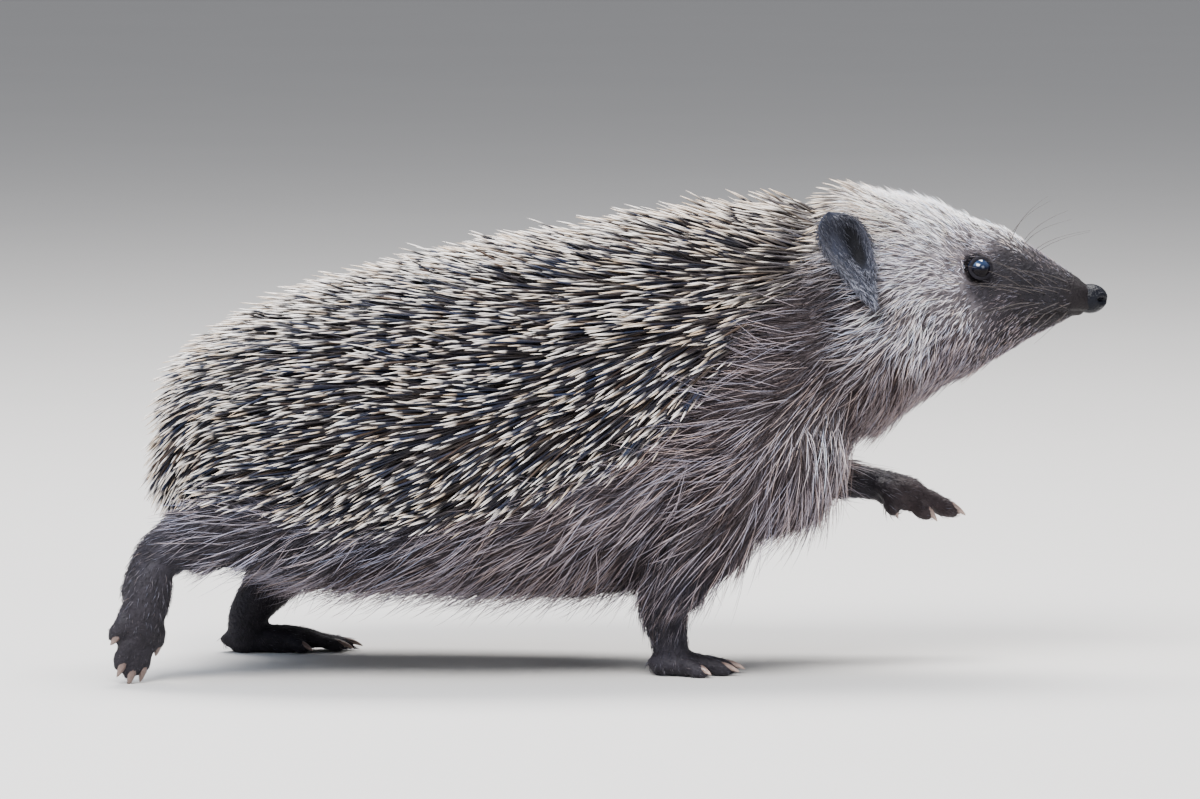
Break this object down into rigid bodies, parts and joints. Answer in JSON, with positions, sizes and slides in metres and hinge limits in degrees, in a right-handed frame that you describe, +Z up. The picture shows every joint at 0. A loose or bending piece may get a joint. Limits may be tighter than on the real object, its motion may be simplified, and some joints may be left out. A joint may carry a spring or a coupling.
{
  "type": "european hedgehog",
  "caption": "Still life-size model of a hedgehog in mid-stride, spiny back, furred flanks and face, one forefoot raised.",
  "frame": {"origin": "centre of the model's footprint box, on the floor under the feet", "axes": "+X to the animal's front, +Y to its left, +Z up"},
  "size_m": [0.2682, 0.105, 0.1297],
  "materials": {
    "spines": "banded dark brown and cream spines",
    "body_fur": "long coarse grey-brown hair",
    "face_fur": "short pale grey-beige hair",
    "muzzle_fur": "very short dark hair",
    "leg_fur": "short dark hair",
    "foot_skin": "bare dark skin with pale claws",
    "ear_skin": "thin blue-grey skin with fine hair",
    "nose_skin": "moist black skin",
    "eye_black": "wet and black"
  },
  "bodies": {
    "root": {"spine_mantle": "spines", "trunk": "body_fur", "neck": "body_fur", "shoulder_left": "body_fur", "shoulder_right": "body_fur", "thigh_left": "body_fur", "thigh_right": "body_fur", "head": "face_fur", "lower_jaw": "face_fur", "snout": "muzzle_fur", "nose": "nose_skin", "eye_left": "eye_black", "eye_right": "eye_black", "ear_left": "ear_skin", "ear_right": "ear_skin", "foreleg_left": "leg_fur", "foreleg_right": "leg_fur", "hind_leg_left": "leg_fur", "hind_leg_right": "leg_fur", "forefoot_left": "foot_skin", "forefoot_right": "foot_skin", "hind_foot_left": "foot_skin", "hind_foot_right": "foot_skin", "tail": "leg_fur"}
  },
  "joints": []
}
